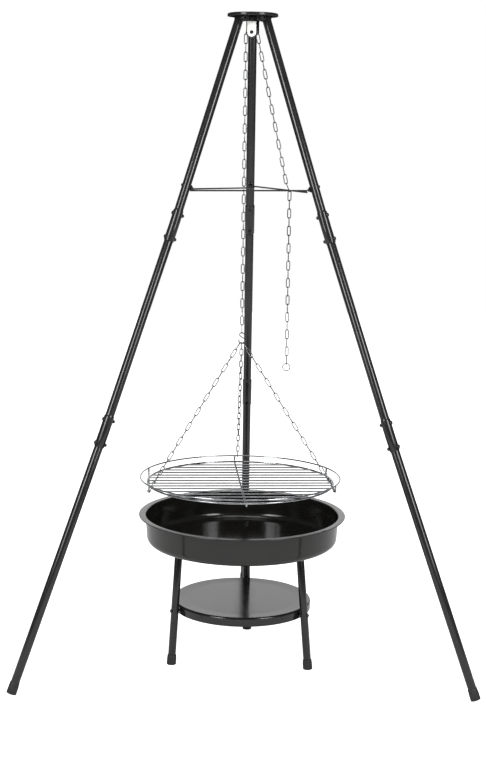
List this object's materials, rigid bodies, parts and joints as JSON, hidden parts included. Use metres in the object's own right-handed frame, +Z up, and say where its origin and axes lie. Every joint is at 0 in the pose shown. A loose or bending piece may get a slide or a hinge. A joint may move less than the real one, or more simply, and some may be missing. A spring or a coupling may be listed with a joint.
{
  "type": "campfire tripod grate",
  "caption": "Folding-leg tripod whose pulley chain hangs a round wire cooking grate with a railing over a gloss fire bowl on a low stand with a round shelf.",
  "frame": {"origin": "on the floor, at the middle of the footprint of the tripod's feet", "axes": "+Z up, -Y towards the open side between the two front legs, +Y towards the back leg"},
  "size_m": [1.158, 1.0062, 1.653],
  "materials": {
    "black_tube": "semi-gloss powder coat",
    "black_enamel": "gloss enamel",
    "zinc_chain": "bright zinc plate",
    "chrome_wire": "chrome plate",
    "zinc_fastener": "zinc plate",
    "zinc_sheet": "bright zinc plate",
    "black_rubber": "matt"
  },
  "bodies": {
    "frame": {"top_plate": "black_tube", "leg_clevis_left": "black_tube", "leg_upper_left": "black_tube", "leg_middle_left": "black_tube", "leg_lower_left": "black_tube", "leg_tip_left": "black_rubber", "leg_clevis_right": "black_tube", "leg_upper_right": "black_tube", "leg_middle_right": "black_tube", "leg_lower_right": "black_tube", "leg_tip_right": "black_rubber", "leg_clevis_back": "black_tube", "leg_upper_back": "black_tube", "leg_middle_back": "black_tube", "leg_lower_back": "black_tube", "leg_tip_back": "black_rubber", "pivot_bolts": "zinc_fastener", "pivot_nuts": "zinc_fastener", "joint_bolts": "zinc_fastener", "joint_nuts": "zinc_fastener", "brace_rod_front": "black_tube", "brace_rod_left": "black_tube", "brace_rod_right": "black_tube", "brace_bolts": "zinc_fastener", "brace_nuts": "zinc_fastener", "pulley_bracket": "zinc_sheet", "pulley_axle": "zinc_fastener", "pulley_hanger": "black_tube", "pulley_hanger_bolt": "black_tube", "chain_over_pulley": "zinc_chain", "chain_slant": "zinc_chain"},
    "sheave": {"pulley_sheave": "zinc_sheet"},
    "chain_head": {"chain_head_link": "zinc_chain"},
    "chain_upper": {"chain_main_upper": "zinc_chain"},
    "chain_lower": {"chain_main_lower": "zinc_chain"},
    "grate": {"main_hook": "zinc_chain", "hanger_chain_left": "zinc_chain", "hanger_hook_left": "zinc_chain", "hanger_chain_right": "zinc_chain", "hanger_hook_right": "zinc_chain", "hanger_chain_rear": "zinc_chain", "hanger_hook_rear": "zinc_chain", "grate_rim": "chrome_wire", "grate_railing": "chrome_wire", "grate_bars": "chrome_wire", "grate_crossbars": "chrome_wire"},
    "tail": {"chain_tail": "zinc_chain", "chain_end_ring": "zinc_chain"},
    "brazier": {"fire_bowl": "black_enamel", "shelf": "black_enamel", "bowl_bolts": "zinc_fastener", "stand_leg_plugs": "zinc_fastener", "shelf_bolts": "zinc_fastener", "shelf_nuts": "zinc_fastener", "stand_leg_left": "black_tube", "stand_cap_left": "black_rubber", "stand_leg_right": "black_tube", "stand_cap_right": "black_rubber", "stand_leg_back": "black_tube", "stand_cap_back": "black_rubber"}
  },
  "joints": [
    {"name": "sheave_spin", "type": "hinge", "parent": "frame", "child": "sheave", "pos_m": [-0.0026, -0.16336, 1.607], "axis": [0, 1, 0], "range_deg": [-5, 560]},
    {"name": "swing_side", "type": "hinge", "parent": "frame", "child": "chain_head", "pos_m": [-0.0165, -0.16336, 1.602], "axis": [0, 1, 0], "range_deg": [-3, 3]},
    {"name": "swing_front", "type": "hinge", "parent": "chain_head", "child": "chain_upper", "pos_m": [-0.0165, -0.16336, 1.58], "axis": [1, 0, 0], "range_deg": [-3, 3]},
    {"name": "grate_lift", "type": "slide", "parent": "chain_upper", "child": "chain_lower", "axis": [0, 0, 1], "range_m": [0, 0.132], "deforming": ["chain_main_upper"]},
    {"name": "grate_turn", "type": "hinge", "parent": "chain_lower", "child": "grate", "pos_m": [-0.0165, -0.16336, 0.854], "axis": [0, 0, 1], "range_deg": [-90, 90], "deforming": ["chain_main_lower"]},
    {"name": "tail_feed", "type": "slide", "parent": "frame", "child": "tail", "axis": [0, 0, -1], "range_m": [0, 0.134], "deforming": ["chain_tail"]},
    {"name": "brazier_slide", "type": "slide", "parent": "frame", "child": "brazier", "axis": [0, -1, 0], "range_m": [0, 0.65]}
  ],
  "couplings": [
    {"joint": "sheave_spin", "follows": "grate_lift", "rad_per_m": 68.966},
    {"joint": "tail_feed", "follows": "grate_lift", "ratio": 1}
  ]
}
